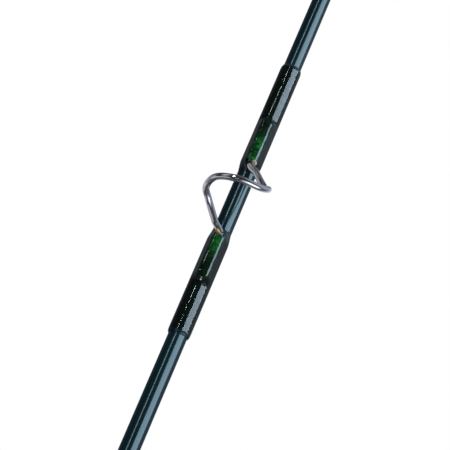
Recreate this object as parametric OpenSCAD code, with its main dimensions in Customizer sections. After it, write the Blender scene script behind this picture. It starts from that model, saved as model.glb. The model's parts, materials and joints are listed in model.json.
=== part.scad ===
// Four-piece fishing rod with snake guides, a cork grip and a screw-locking reel seat.
// The rod stands along +Z with the middle of its butt face at the origin.
// The guides, the hook keeper and the reel all sit on the -Y side.

/* [Blank] */
// Length of each of the four blank sections
section_len = 566; // [550:1:600]
// Length over which each ferrule overlaps
ferrule_len = 44; // [38:1:50]
// Outside diameter of the blank at the tip
tip_d = 1.6; // [1.5:0.1:1.8]
// How much the blank's diameter grows over one metre
taper = 2.8; // [2.6:0.1:3]

/* [Guides] */
// Wire diameter of a full-size snake guide
wire_d = 1.05; // [0.95:0.05:1.15]
// Half of a full-size guide's length between its two wraps
guide_half = 6.45; // [6:0.05:6.8]
// Half of the loop's width, to the wire's centre
loop_half = 4.22; // [3.8:0.01:4.4]
// Height of the loop over the foot, to the wire's centre
loop_rise = 7.43; // [6.8:0.01:7.8]
// Length of each foot under its wrap
foot_len = 7.6; // [7:0.1:9]
// Length of the thread wrap over a guide's upper foot
wrap_len = 17; // [14:0.1:18]
// Length of the thread wrap over a guide's lower foot
lower_wrap_len = 15; // [13:0.1:18]
// Thickness of the thread layer
thread_t = 0.13; // [0.1:0.01:0.16]
// Thickness of the clear finish over the thread
finish_t = 0.13; // [0.1:0.01:0.2]

/* [Handle] */
// Number of cork rings in the grip
cork_count = 13; // [11:1:14]
// Length of one cork ring
cork_len = 12.7; // [12:0.1:13]
// Radius of the grip next to the reel seat
grip_rear_r = 12.4; // [12.2:0.1:13]
// Radius of the grip at the winding check
grip_front_r = 7.6; // [7:0.1:9]
// How far the sliding hood travels
hood_travel = 20; // [14:1:20]
// Pitch of the reel seat's thread
thread_pitch = 2; // [1.5:0.5:2]

/* [Hidden] */
$fn = 64;
SECTIONS = ["butt_blank", "lower_mid_blank", "upper_mid_blank", "tip_blank"];
FERRULES = ["", "lower_mid_ferrule_wrap", "upper_mid_ferrule_wrap", "tip_ferrule_wrap"];
FINISHES = ["butt_finish", "lower_mid_finish", "upper_mid_finish", "tip_finish"];
GUIDES = 8;

function cork_name(i) = str("cork_ring_", i < 10 ? "0" : "", i);

// Blank: every section starts section_step above the one below it
section_step = section_len - ferrule_len;
rod_len = 3 * section_step + section_len;
fit_gap = 0.03;       // radial clearance of a ferrule
ferrule_taper = 40;   // length over which a socket's swell runs out
ferrule_wrap_len = 20;
blank_start = 14;     // the blank's butt end, above the butt cap's plug

function blank_r(z) = (tip_d + taper * (rod_len - z) / 1000) / 2;
function blank_wall(z) = 0.26 * blank_r(z) + 0.15;
function section_z(s) = s * section_step;
function socket_r(z) = blank_r(z) + fit_gap;
function socket_outer_r(z) = socket_r(z) + blank_wall(z);

// Guides: distance of each guide's middle from the tip, and its size against a full-size one
guide_from_tip = [100, 205, 315, 430, 610, 770, 945, 1150];
guide_size = [0.75, 0.8, 0.88, 1, 1, 1.08, 1.14, 1.2];
guide_section = [3, 3, 3, 3, 2, 2, 2, 1];
finish_margin = 0.8;  // how far the finish runs past the thread
stripping_z = rod_len - 1380;
stripping_rise = 12;  // ring's middle above the blank
ring_bore_r = 4;
ring_outer_r = 5;
frame_outer_r = 5.9;
strip_foot = [1.7, 0.6, 8];
strip_foot_start = 9;
strip_wrap_len = 13;

function guide_z(i) = rod_len - guide_from_tip[i];

// Reel seat, from the butt upwards
cap_r = 13;
cap_len = 6;
plug_len = 7;
barrel_r = 11;
barrel_inner_r = 9;
barrel_end = 52;
tooth = 0.6;          // depth of the barrel's thread
groove_w = 3;
groove_r = 9.9;
jam_z = 11;
nut_len = 5.2;
nut_gap = 0.3;
nut_r = 13.2;
nut_bore_r = 11.08;
hood_z = 22;
hood_len = 18;
hood_r = 12.6;
hood_bore_r = 11.1;
pocket_floor = 6;     // solid length below a hood's pocket
pocket_r = 8.6;
pocket_y = -7.1;
pocket_wall = 1.3;
spacer_r = 10.4;
spacer_bore_r = 5.6;
tenon_r = 8.95;
fixed_hood_z = 92;
grip_z = 110;
arbor_len = 10;
arbor_z = [22, 55, 92];
glue = 0.02;          // gap that the glue fills

// Grip
grip_len = cork_count * cork_len;
grip_belly = 0.9;
grip_end_z = grip_z + grip_len;
check_len = 4;
function grip_r(t) = grip_front_r + (grip_rear_r - grip_front_r) * (1 - pow(t, 2.6))
    + grip_belly * sin(180 * pow(t, 0.8));

// Hook keeper
keeper_z = grip_end_z + 25;
keeper_y = -(blank_r(keeper_z) + 2);
keeper_bore_r = 0.56;
keeper_pin_r = 0.5;
keeper_eye = [1.15, 2.2];   // outer radius and width of the eye that the ring turns in
keeper_ring_r = 3.8;
keeper_ring_drop = 2.8;
keeper_foot = [1.8, 0.5, 6.4];
keeper_foot_start = 3.6;
keeper_wrap_len = 9;

// Tip-top
tip_tube_len = 8;
tip_tube_wall = 0.25;
tip_wire_r = 0.4;
tip_wrap_len = 8;

// ---- Wires: a tube swept along a list of points ----

function unit(v) = v / norm(v);
function tangent(p, i) = unit(p[min(i + 1, len(p) - 1)] - p[max(i - 1, 0)]);
function square_to(t, n) = unit(n - (n * t) * t);
// The side direction at each point, carried along from the first one without twisting
function sides_of(p, n, i = 0) = i == len(p) ? [] :
    let (m = square_to(tangent(p, i), n)) concat([m], sides_of(p, m, i + 1));
function hermite(a, b, ta, tb, u) =
    (2 * pow(u, 3) - 3 * u * u + 1) * a + (pow(u, 3) - 2 * u * u + u) * ta
    + (3 * u * u - 2 * pow(u, 3)) * b + (pow(u, 3) - u * u) * tb;
// A smooth line through the points p, that leaves the first along t0 and meets the last along t1
function smooth_line(p, t0, t1, steps) = let (
        last = len(p) - 1,
        t = [for (i = [0:last]) i == 0 ? t0 : i == last ? t1 : (p[i + 1] - p[i - 1]) / 2]
    ) concat(
        [for (i = [0:last - 1]) for (k = [0:steps - 1]) hermite(p[i], p[i + 1], t[i], t[i + 1], k / steps)],
        [p[last]]
    );

module wire(p, r, side, sides = 8) {
    n = len(p);
    m = sides_of(p, side);
    points = [for (i = [0:n - 1]) let (t = tangent(p, i), b = cross(t, m[i]))
        for (k = [0:sides - 1]) p[i] + r * (cos(360 * k / sides) * m[i] + sin(360 * k / sides) * b)];
    skin = [for (i = [0:n - 2]) for (k = [0:sides - 1]) let (
            a = i * sides + k,
            b = i * sides + (k + 1) % sides
        ) each [[a, b + sides, b], [a, a + sides, b + sides]]];
    ends = [[for (k = [0:sides - 1]) k], [for (k = [0:sides - 1]) n * sides - 1 - k]];
    polyhedron(points, concat(skin, ends));
}

module ring_of(profile) {
    rotate_extrude() polygon(profile);
}

module cone(z1, z2, r1, r2) {
    translate([0, 0, z1]) cylinder(r1 = r1, r2 = r2, h = z2 - z1);
}

// ---- Blank ----

module blank(s) {
    z0 = s == 0 ? blank_start : section_z(s);
    z1 = section_z(s) + section_len;
    z_socket = z0 + ferrule_len + 1;
    z_plain = z_socket + ferrule_taper;
    outer = s == 0 ? [[blank_r(z0), z0]]
        : [[socket_outer_r(z0), z0], [socket_outer_r(z_socket), z_socket], [blank_r(z_plain), z_plain]];
    inner = s == 0 ? [[blank_r(z0) - blank_wall(z0), z0]]
        : [[blank_r(z_plain) - blank_wall(z_plain), z_plain], [socket_r(z_socket), z_socket], [socket_r(z0), z0]];
    color([0.03, 0.16, 0.2])
        ring_of(concat(outer, [[blank_r(z1), z1], [blank_r(z1) - blank_wall(z1), z1]], inner));
}

// A sleeve of even thickness on the plain blank, from z1 to z2 above the height at
module sleeve(at, z1, z2, grow) {
    cone(z1, z2, blank_r(at + z1) + grow, blank_r(at + z2) + grow);
}

// Outline of the blank, radius big, together with a foot, radius small, whose middle lies off from the axis
function foot_outline(big, small, off) = let (
        lean = acos((big - small) / off),
        turn = 360 - 2 * lean,
        at = function (r, a) [r * sin(a), -r * cos(a)]
    ) concat(
        [for (k = [0:24]) at(big, lean + turn * k / 24)],
        [for (k = [0:12]) [0, -off] + at(small, -lean + 2 * lean * k / 12)]
    );

// A sleeve that also rides over a foot of half-width foot_r lying foot_y from the axis
module foot_sleeve(at, z1, z2, grow, foot_y, foot_r) {
    translate([0, 0, z1])
        linear_extrude(z2 - z1)
            polygon(foot_outline(blank_r(at + z1) + grow + glue, foot_r + grow, foot_y));
}

// Radius of a rounded cover over a flat foot, struck from a point depth below the foot's underside
function round_over(foot, depth) = norm([foot[0] / 2, foot[1] + depth]) + glue;

// The outer form of one wrap, drawn from the height at: it starts at z and runs up the rod when up is 1
// and down when up is -1, over the foot first and then on the bare blank
module wrap_form(at, z, up, foot, len, grow, foot_y, foot_r, near = 0) {
    foot_end = up * (z + foot);
    wrap_end = up * (z + len);
    start = up * (z - near);
    foot_sleeve(at, min(start, foot_end), max(start, foot_end), grow, foot_y, foot_r);
    sleeve(at, min(foot_end, wrap_end), max(foot_end, wrap_end), grow);
}

module thread_wrap(at, z, up, foot, len, foot_y, foot_r) {
    translate([0, 0, at])
        difference() {
            wrap_form(at, z, up, foot, len, thread_t, foot_y, foot_r);
            wrap_form(at, z, up, foot, len + 1, 0, foot_y, foot_r, 1);
        }
}

module wrap_finish(at, z, up, foot, len, foot_y, foot_r) {
    translate([0, 0, at])
        difference() {
            wrap_form(at, z, up, foot, len + finish_margin, thread_t + finish_t, foot_y, foot_r);
            wrap_form(at, z, up, foot, len, thread_t, foot_y, foot_r, 1);
            wrap_form(at, z, up, foot, len + finish_margin + 1, 0, foot_y, foot_r, 1);
        }
}

module ferrule_wrap(s) {
    z = section_z(s) + 1;
    z2 = section_z(s) + ferrule_wrap_len;
    color([0.02, 0.1, 0.05])
        ring_of([[socket_outer_r(z), z], [socket_outer_r(z) + thread_t, z],
            [socket_outer_r(z2) + thread_t, z2], [socket_outer_r(z2), z2]]);
}

module ferrule_finish(s) {
    z = section_z(s) + 1;
    z2 = section_z(s) + ferrule_wrap_len;
    z3 = z2 + finish_margin;
    full = thread_t + finish_t;
    ring_of([[socket_outer_r(z) + thread_t, z], [socket_outer_r(z) + full, z],
        [socket_outer_r(z2) + full, z2], [socket_outer_r(z3), z3], [socket_outer_r(z2), z2],
        [socket_outer_r(z2) + thread_t, z2]]);
}

// ---- Snake guides ----

function guide_wire_r(i) = wire_d / 2 * guide_size[i];
function guide_half_len(i) = guide_half * guide_size[i];
function guide_foot(i) = foot_len * guide_size[i];
function guide_wrap(i, up) = (up > 0 ? wrap_len : lower_wrap_len) * guide_size[i];
// Height of a foot's middle above the blank's axis: it lies on the blank at its thicker end
function guide_foot_y(i) = blank_r(guide_z(i) - guide_half_len(i) - guide_foot(i)) + guide_wire_r(i) + glue;

// Half of the loop, from a foot's exit to the top, as [across, above the foot, along] of a full-size guide
half_loop = [
    [0, 0, guide_half],
    [0.36 * loop_half, 0.108 * loop_rise, 0.716 * guide_half],
    [0.8 * loop_half, 0.289 * loop_rise, 0.386 * guide_half],
    [loop_half, 0.553 * loop_rise, 0.234 * guide_half],
    [0.753 * loop_half, 0.837 * loop_rise, 0.065 * guide_half],
    [0, loop_rise, 0]
];

module snake_guide(i) {
    k = guide_size[i];
    foot_y = guide_foot_y(i);
    top = len(half_loop) - 1;
    loop = concat(half_loop, [for (j = [1:top]) let (q = half_loop[top - j]) [-q[0], q[1], -q[2]]]);
    placed = [for (q = loop) [k * q[0], -foot_y - k * q[1], k * q[2]]];
    along = [0, 0, k * guide_half / 2];
    line = smooth_line(placed, -along, -along, 5);
    foot = [0, 0, guide_foot(i)];
    path = concat([line[0] + foot], line, [line[len(line) - 1] - foot]);
    color([0.85, 0.86, 0.88]) translate([0, 0, guide_z(i)]) wire(path, guide_wire_r(i), [1, 0, 0]);
}

module guide_wraps(i) {
    for (up = [-1, 1])
        color([0.02, 0.1, 0.05])
            thread_wrap(guide_z(i), guide_half_len(i), up, guide_foot(i), guide_wrap(i, up),
                guide_foot_y(i), guide_wire_r(i) + glue);
}

module guide_finish(i) {
    for (up = [-1, 1])
        wrap_finish(guide_z(i), guide_half_len(i), up, guide_foot(i), guide_wrap(i, up),
            guide_foot_y(i), guide_wire_r(i) + glue);
}

// ---- Stripping guide ----

strip_base_y = blank_r(stripping_z - strip_foot_start - strip_foot[2]) + glue;
strip_ring_y = -(strip_base_y + stripping_rise);

module stripping_frame() {
    foot_y = strip_base_y + strip_foot[1] / 2;
    leg_r = 0.55;
    toe_y = strip_base_y + leg_r + glue;
    toe = strip_foot_start + 0.9;
    low_leg = [
        [0, -toe_y, -toe],
        [0.22 * frame_outer_r, -foot_y - 0.05 * stripping_rise, -0.78 * strip_foot_start],
        [0.75 * frame_outer_r, -foot_y - 0.45 * stripping_rise, -0.3 * strip_foot_start],
        [0.9 * frame_outer_r, strip_ring_y + 0.3 * frame_outer_r, 0]
    ];
    high_leg = [
        [0, -toe_y, toe],
        [0, -foot_y - 0.09 * stripping_rise, 0.75 * strip_foot_start],
        [0, -foot_y - 0.35 * stripping_rise, 0.25 * strip_foot_start],
        [0, strip_ring_y + 0.93 * frame_outer_r, 0]
    ];
    color([0.2, 0.2, 0.22])
        translate([0, 0, stripping_z]) {
            translate([0, strip_ring_y, -0.9])
                difference() {
                    cylinder(r = frame_outer_r, h = 1.8);
                    translate([0, 0, -1]) cylinder(r = ring_outer_r + glue, h = 4);
                }
            for (side = [-1, 1])
                wire(smooth_line([for (q = low_leg) [side * q[0], q[1], q[2]]], [0, 0, 4], [0, -1, 2], 4),
                    leg_r, [1, 0, 0]);
            wire(smooth_line(high_leg, [0, 0, -4], [0, -3, -1], 4), leg_r, [1, 0, 0]);
            for (up = [-1, 1])
                translate([0, -foot_y, up * (strip_foot_start + strip_foot[2] / 2)]) cube(strip_foot, center = true);
        }
}

module stripping_ring() {
    edge = 0.3;
    color([0.06, 0.06, 0.07])
        translate([0, strip_ring_y, stripping_z])
            ring_of([[ring_bore_r + edge, -1], [ring_outer_r, -1], [ring_outer_r, 1], [ring_bore_r + edge, 1],
                [ring_bore_r, 1 - edge], [ring_bore_r, -1 + edge]]);
}

strip_wrap_start = strip_foot_start + 2;
strip_round = round_over(strip_foot, 1);

module stripping_wraps() {
    for (up = [-1, 1])
        color([0.02, 0.1, 0.05])
            thread_wrap(stripping_z, strip_wrap_start, up, strip_foot[2] - 2, strip_wrap_len,
                strip_base_y - 1, strip_round);
}

module stripping_finish() {
    for (up = [-1, 1])
        wrap_finish(stripping_z, strip_wrap_start, up, strip_foot[2] - 2, strip_wrap_len,
            strip_base_y - 1, strip_round);
}

// ---- Tip-top ----

tip_r = blank_r(rod_len - tip_tube_len) + glue;

module tip_tube() {
    color([0.85, 0.86, 0.88])
        ring_of([[tip_r, rod_len - tip_tube_len], [tip_r + tip_tube_wall, rod_len - tip_tube_len],
            [tip_r + tip_tube_wall, rod_len + 0.8], [0, rod_len + 0.8], [0, rod_len + 0.2], [tip_r, rod_len + 0.2]]);
}

module tip_loop() {
    side_x = tip_r + tip_tube_wall + tip_wire_r + glue;
    half = [
        [side_x, 0, -0.5],
        [side_x + 0.35, -0.8, 1.5],
        [side_x + 0.9, -2.3, 3.3],
        [side_x + 0.1, -3.9, 5.2],
        [0, -4.6, 6]
    ];
    top = len(half) - 1;
    loop = concat(half, [for (j = [1:top]) let (q = half[top - j]) [-q[0], q[1], q[2]]]);
    line = smooth_line(loop, [0, 0, 1.5], [0, 0, -1.5], 5);
    leg = [0, 0, tip_tube_len - 3];
    color([0.85, 0.86, 0.88])
        translate([0, 0, rod_len])
            wire(concat([line[0] - leg], line, [line[len(line) - 1] - leg]), tip_wire_r, [1, 0, 0]);
}

tip_wrap_end = rod_len - tip_tube_len - 0.1;

module tip_wrap() {
    color([0.02, 0.1, 0.05])
        difference() {
            sleeve(0, tip_wrap_end - tip_wrap_len, tip_wrap_end, thread_t);
            sleeve(0, tip_wrap_end - tip_wrap_len - 1, tip_wrap_end + 1, 0);
        }
}

module tip_wrap_finish() {
    difference() {
        sleeve(0, tip_wrap_end - tip_wrap_len - finish_margin, tip_wrap_end, thread_t + finish_t);
        sleeve(0, tip_wrap_end - tip_wrap_len, tip_wrap_end + 1, thread_t);
        sleeve(0, tip_wrap_end - tip_wrap_len - 3, tip_wrap_end + 1, 0);
    }
}

// ---- Reel seat ----

module butt_cap() {
    round_r = 1.2;
    color([0.1, 0.1, 0.11])
        ring_of(concat(
            [[0, 0]],
            [for (a = [-90:30:0]) [cap_r - round_r + round_r * cos(a), round_r + round_r * sin(a)]],
            [[cap_r, cap_len - 0.6], [cap_r - 0.6, cap_len], [barrel_inner_r - glue, cap_len],
            [barrel_inner_r - glue, cap_len + plug_len], [0, cap_len + plug_len]]
        ));
}

module threaded_barrel() {
    plain = 3;
    turns = floor((barrel_end - cap_len - 2 * plain) / thread_pitch);
    start = cap_len + plain;
    teeth = [for (i = [0:turns - 1]) let (z = start + i * thread_pitch)
        each [[barrel_r - tooth, z], [barrel_r - tooth, z + 0.2 * thread_pitch],
            [barrel_r, z + 0.5 * thread_pitch], [barrel_r, z + 0.7 * thread_pitch]]];
    end = start + turns * thread_pitch;
    color([0.1, 0.1, 0.11])
        difference() {
            ring_of(concat([[barrel_inner_r, cap_len], [barrel_r, cap_len], [barrel_r, start - 0.3]], teeth,
                [[barrel_r - tooth, end], [barrel_r, end + 0.3], [barrel_r, barrel_end], [barrel_inner_r, barrel_end]]));
            translate([-groove_w / 2, groove_r, cap_len + 2]) cube([groove_w, 3, barrel_end]);
        }
}

module seat_spacer() {
    tail = blank_start - 0.5;
    hood_seat = grip_z - pocket_floor;
    color([0.45, 0.26, 0.13])
        ring_of([[spacer_bore_r, tail], [tenon_r, tail], [tenon_r, barrel_end + glue], [spacer_r, barrel_end + glue],
            [spacer_r, hood_seat - glue], [tenon_r, hood_seat - glue], [tenon_r, grip_z - glue],
            [spacer_bore_r, grip_z - glue]]);
}

module seat_arbors() {
    color([0.75, 0.7, 0.6])
        for (z = arbor_z)
            ring_of([[blank_r(z) + glue, z], [spacer_bore_r - glue, z], [spacer_bore_r - glue, z + arbor_len],
                [blank_r(z + arbor_len) + glue, z + arbor_len]]);
}

// A hood's outer form: a sleeve with a bulge for the reel's foot
module hood_form(len) {
    cylinder(r = hood_r, h = len);
    translate([0, pocket_y, 0]) cylinder(r = pocket_r + pocket_wall, h = len);
}

module sliding_hood() {
    key_h = 5;
    color([0.1, 0.1, 0.11])
        translate([0, 0, hood_z]) {
            difference() {
                hood_form(hood_len);
                translate([0, 0, -1]) cylinder(r = hood_bore_r, h = hood_len + 2);
                translate([0, pocket_y, pocket_floor]) cylinder(r = pocket_r, h = hood_len);
            }
            translate([-groove_w / 2 + 0.1, groove_r + 0.2, 0]) cube([groove_w - 0.2, hood_r - groove_r - 0.8, key_h]);
        }
}

module fixed_hood() {
    len = grip_z - fixed_hood_z;
    color([0.1, 0.1, 0.11])
        translate([0, 0, fixed_hood_z])
            difference() {
                hood_form(len);
                translate([0, 0, -1]) cylinder(r = spacer_r + glue, h = len - pocket_floor + 1);
                translate([0, pocket_y, -1]) cylinder(r = pocket_r, h = len - pocket_floor + 1);
                cylinder(r = tenon_r + glue, h = len + 1);
            }
}

module nut(z) {
    flutes = 24;
    bevel = 0.5;
    color([0.1, 0.1, 0.11])
        translate([0, 0, z])
            difference() {
                ring_of([[nut_bore_r, 0], [nut_r - bevel, 0], [nut_r, bevel], [nut_r, nut_len - bevel],
                    [nut_r - bevel, nut_len], [nut_bore_r, nut_len]]);
                for (a = [0:360 / flutes:359])
                    rotate(a) translate([nut_r + 0.35, 0, -1]) cylinder(r = 0.8, h = nut_len + 2, $fn = 16);
            }
}

// ---- Grip ----

module cork_ring(i) {
    z = grip_z + (i - 1) * cork_len;
    cuts = 4;
    edge = [for (j = [0:cuts]) let (t = (i - 1 + j / cuts) / cork_count) [grip_r(t), z + j * cork_len / cuts]];
    color([0.8, 0.62, 0.42])
        ring_of(concat([[blank_r(z) + glue, z]], edge, [[blank_r(z + cork_len) + glue, z + cork_len]]));
}

module winding_check() {
    z = grip_end_z;
    color([0.75, 0.76, 0.78])
        ring_of([[blank_r(z) + glue, z], [grip_front_r - 0.1, z], [grip_front_r - 0.1, z + 1],
            [blank_r(z) + 0.9, z + check_len], [blank_r(z + check_len) + glue, z + check_len]]);
}

// ---- Hook keeper ----

keeper_base_y = blank_r(keeper_z - keeper_foot_start - keeper_foot[2]) + glue;

module keeper_base() {
    foot_y = keeper_base_y + keeper_foot[1] / 2;
    color([0.85, 0.86, 0.88])
        translate([0, 0, keeper_z]) {
            difference() {
                union() {
                    translate([0, keeper_y, 0]) rotate([0, 90, 0])
                        cylinder(r = keeper_eye[0], h = keeper_eye[1], center = true);
                    for (up = [-1, 1])
                        hull() {
                            translate([0, -foot_y, up * (keeper_foot_start + 0.3)])
                                cube([keeper_foot[0], keeper_foot[1], 0.6], center = true);
                            translate([0, keeper_y + 0.3, up * 0.5]) cube([keeper_foot[0], 0.8, 0.4], center = true);
                        }
                }
                translate([0, keeper_y, 0]) rotate([0, 90, 0])
                    cylinder(r = keeper_bore_r, h = keeper_eye[1] + 2, center = true);
            }
            for (up = [-1, 1])
                translate([0, -foot_y, up * (keeper_foot_start + keeper_foot[2] / 2)])
                    cube(keeper_foot, center = true);
        }
}

module keeper_ring() {
    reach = sqrt(pow(keeper_ring_r, 2) - pow(keeper_ring_drop, 2));
    color([0.85, 0.86, 0.88])
        translate([0, keeper_y, keeper_z]) {
            difference() {
                translate([0, 0, -keeper_ring_drop]) rotate([90, 0, 0])
                    rotate_extrude() translate([keeper_ring_r, 0]) circle(keeper_pin_r, $fn = 24);
                translate([-10, -10, 0]) cube(20);
            }
            rotate([0, 90, 0]) cylinder(r = keeper_pin_r, h = 2 * reach + 0.9, center = true, $fn = 24);
        }
}

keeper_round = round_over(keeper_foot, 1.2);
keeper_wrap_y = keeper_base_y - 1.2;

module keeper_wraps() {
    color([0.02, 0.1, 0.05])
        for (up = [-1, 1])
            thread_wrap(keeper_z, keeper_foot_start + 1.2, up, keeper_foot[2] - 1.2, keeper_wrap_len,
                keeper_wrap_y, keeper_round);
}

module keeper_finish() {
    for (up = [-1, 1])
        wrap_finish(keeper_z, keeper_foot_start + 1.2, up, keeper_foot[2] - 1.2, keeper_wrap_len,
            keeper_wrap_y, keeper_round);
}

module section_finish(s) {
    color([0.7, 0.8, 0.7, 0.5]) {
        if (s == 0) keeper_finish();
        if (s > 0) ferrule_finish(s);
        if (s == 1) stripping_finish();
        if (s == 3) tip_wrap_finish();
        for (i = [0:GUIDES - 1]) if (guide_section[i] == s) guide_finish(i);
    }
}

// ---- The parts ----

butt_cap();
threaded_barrel();
seat_spacer();
seat_arbors();
fixed_hood();
sliding_hood();
nut(jam_z + nut_len + nut_gap);  // lock_nut
nut(jam_z);  // jam_nut
for (i = [1:cork_count]) cork_ring(i);
winding_check();
keeper_base();
keeper_ring();
keeper_wraps();
for (s = [0:3]) blank(s);
for (s = [1:3]) ferrule_wrap(s);
stripping_frame();
stripping_ring();
stripping_wraps();
for (i = [1:GUIDES]) snake_guide(i - 1);
for (i = [1:GUIDES]) guide_wraps(i - 1);
tip_tube();
tip_loop();
tip_wrap();
for (s = [0:3]) section_finish(s);
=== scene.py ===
import json
import math

import bpy
import numpy as np
from bpy.props import FloatProperty, FloatVectorProperty, IntProperty, PointerProperty
from mathutils import Matrix, Vector

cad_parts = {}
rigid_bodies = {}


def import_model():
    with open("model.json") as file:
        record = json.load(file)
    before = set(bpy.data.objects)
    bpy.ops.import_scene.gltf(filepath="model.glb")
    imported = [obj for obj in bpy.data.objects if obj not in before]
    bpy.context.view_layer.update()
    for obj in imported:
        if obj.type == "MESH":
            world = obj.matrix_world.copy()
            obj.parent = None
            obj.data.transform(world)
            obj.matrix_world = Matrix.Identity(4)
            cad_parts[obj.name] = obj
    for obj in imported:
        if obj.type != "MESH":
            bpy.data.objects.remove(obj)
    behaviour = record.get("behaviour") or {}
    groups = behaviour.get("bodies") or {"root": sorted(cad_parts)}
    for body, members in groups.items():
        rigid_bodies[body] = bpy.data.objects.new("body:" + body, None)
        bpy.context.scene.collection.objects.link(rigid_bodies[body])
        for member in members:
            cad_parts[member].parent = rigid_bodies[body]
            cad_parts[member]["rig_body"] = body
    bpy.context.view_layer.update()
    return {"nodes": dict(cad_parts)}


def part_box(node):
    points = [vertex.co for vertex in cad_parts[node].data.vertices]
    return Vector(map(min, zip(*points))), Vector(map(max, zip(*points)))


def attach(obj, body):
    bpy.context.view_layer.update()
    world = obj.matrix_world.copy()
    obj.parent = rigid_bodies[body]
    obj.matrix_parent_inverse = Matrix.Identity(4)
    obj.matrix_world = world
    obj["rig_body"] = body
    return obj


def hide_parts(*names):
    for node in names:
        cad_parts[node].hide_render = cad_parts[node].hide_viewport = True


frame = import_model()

bl_info = {
    "name": "Snake-Guide Fishing Rod",
    "version": (1, 0, 0),
    "blender": (4, 5, 0),
    "location": "3D View > Sidebar > Fishing Rod",
    "description": "Builds the looks of a four-piece fishing rod around its CAD model",
    "category": "Add Mesh",
}

# Every length in the functions below is in millimetres, and becomes metres when a mesh is made.
MM = 0.001
ROD_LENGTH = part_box("tip_blank")[1].z / MM
PARTS = ["butt", "lower_mid", "upper_mid", "tip"]
FERRULES = PARTS[1:]
GUIDE_COUNT = 8
# A full-size snake guide: half its loop's length, a foot's length, the length over both feet and its two wraps
GUIDE_HALF, GUIDE_FOOT = 6.45, 7.6
FULL_GUIDE = 2 * (GUIDE_HALF + GUIDE_FOOT)
UPPER_WRAP, LOWER_WRAP = 17.0, 15.0
# The gap between glued parts, and how far a wrap's last turn runs past its end
GLUE = 0.02
THREAD_RUN_OUT = 0.3


def tone(red, green, blue):
    """A screen colour, 0 to 255, as the linear colour that a shader takes."""
    parts = [c / 255 for c in (red, green, blue)]
    return tuple(c / 12.92 if c <= 0.04045 else ((c + 0.055) / 1.055) ** 2.4 for c in parts)


# ---- Sizes and colours that a user may change ----


def length_prop(name, description, default):
    return FloatProperty(
        name=name, description=description, default=default * MM, min=0.0, precision=5, unit="LENGTH"
    )


def colour_prop(name, description, default):
    return FloatVectorProperty(
        name=name, description=description, default=default, size=3, min=0.0, max=1.0, subtype="COLOR"
    )


class RodSizes(bpy.types.PropertyGroup):
    tip_diameter: length_prop("Tip diameter", "Outside diameter of the blank at the tip", 1.6)
    taper: length_prop("Taper", "Growth of the blank's diameter over one metre", 2.8)
    wire_diameter: length_prop("Guide wire", "Wire diameter of a full-size snake guide", 1.05)
    loop_half: length_prop("Loop half-width", "From the rod's middle plane to the wire's centre", 4.22)
    loop_rise: length_prop("Loop rise", "From the feet to the top of the loop", 7.43)
    thread_diameter: length_prop("Thread diameter", "Thickness of the winding thread", 0.24)
    varnish_build: length_prop("Varnish build", "Height of the varnish over the blank", 0.262)
    shoulder: length_prop("Varnish shoulder", "Length of a varnish coat's rounded outer end", 0.75)
    ramp: length_prop("Varnish ramp", "Length of a varnish coat's sloping inner end", 2.1)
    knurls: IntProperty(name="Flutes", description="Flutes round each reel seat nut", default=24, min=8)


class RodColours(bpy.types.PropertyGroup):
    blank: colour_prop("Blank", "Teal lacquer of the blank", tone(3, 27, 34))
    blank_shade: colour_prop("Blank shade", "Darker fibres under the lacquer", tone(1, 14, 21))
    thread_dark: colour_prop("Dark thread", "Thread over the blank, soaked dark", tone(2, 9, 6))
    # The thread's own green, brightened with painted light that the metal foot reflects back through it
    thread_lit_by_foot: colour_prop("Bright thread", "Thread over a bright metal foot", tone(38, 168, 66))
    varnish: colour_prop("Varnish", "Tint of the clear varnish", tone(250, 253, 246))
    # The amber tint of aged varnish, brightened with painted light through the drop
    amber_and_painted_light: colour_prop("Amber bead", "Bead of varnish at a guide's lower exit", tone(165, 130, 62))
    # The upper bead's pale colour is painted light refracted through clear varnish
    painted_upper_bead_light: colour_prop("Cream bead", "Bead of varnish at a guide's upper exit", tone(160, 158, 138))
    chrome: colour_prop("Chrome", "Hard chrome of the guides", (0.86, 0.85, 0.88))
    anodised: colour_prop("Anodised metal", "Smoky anodised reel seat", (0.07, 0.074, 0.082))
    wood: colour_prop("Wood", "Light figure of the reel seat's wood", tone(150, 88, 40))
    wood_dark: colour_prop("Dark wood", "Dark figure of the reel seat's wood", tone(64, 30, 14))
    cork: colour_prop("Cork", "Cork of the grip", tone(205, 166, 118))
    cork_dark: colour_prop("Cork pits", "Pits and veins in the cork", tone(110, 70, 38))
    ceramic: colour_prop("Ceramic", "Ring of the stripping guide", (0.012, 0.012, 0.014))
    floor: colour_prop("Floor", "Studio floor", (0.78, 0.78, 0.77))


def size(name):
    """A length from the panel, in millimetres."""
    return getattr(bpy.context.scene.rod_sizes, name) / MM


def colour(name):
    return (*getattr(bpy.context.scene.rod_colours, name), 1.0)


# ---- The rod's own measures, as the CAD has them ----


def blank_radius(z):
    return (size("tip_diameter") + size("taper") * (ROD_LENGTH - z) / 1000) / 2


def blank_wall(z):
    return 0.26 * blank_radius(z) + 0.15


SOCKET_GAP = 0.03


def socket_radius(z):
    return blank_radius(z) + SOCKET_GAP + blank_wall(z)


def node_span(node):
    low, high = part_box(node)
    return low.z / MM, high.z / MM


class Foot:
    """What a wrap rides over: a rounded foot of radius r whose middle lies off from the rod's axis."""

    def __init__(self, length, off, r):
        self.length, self.off, self.r = length, off, r


class Wrap:
    """One thread wrap: it starts at z, runs up the rod for length, or down it when up is -1."""

    def __init__(self, z, up, length, foot=None, radius=blank_radius, body="", open_ends=False):
        self.z, self.up, self.length, self.foot = z, up, length, foot
        self.radius, self.body, self.open_ends = radius, body, open_ends


def guide_body(i):
    return frame["nodes"][f"snake_guide_{i}"]["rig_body"]


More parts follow.
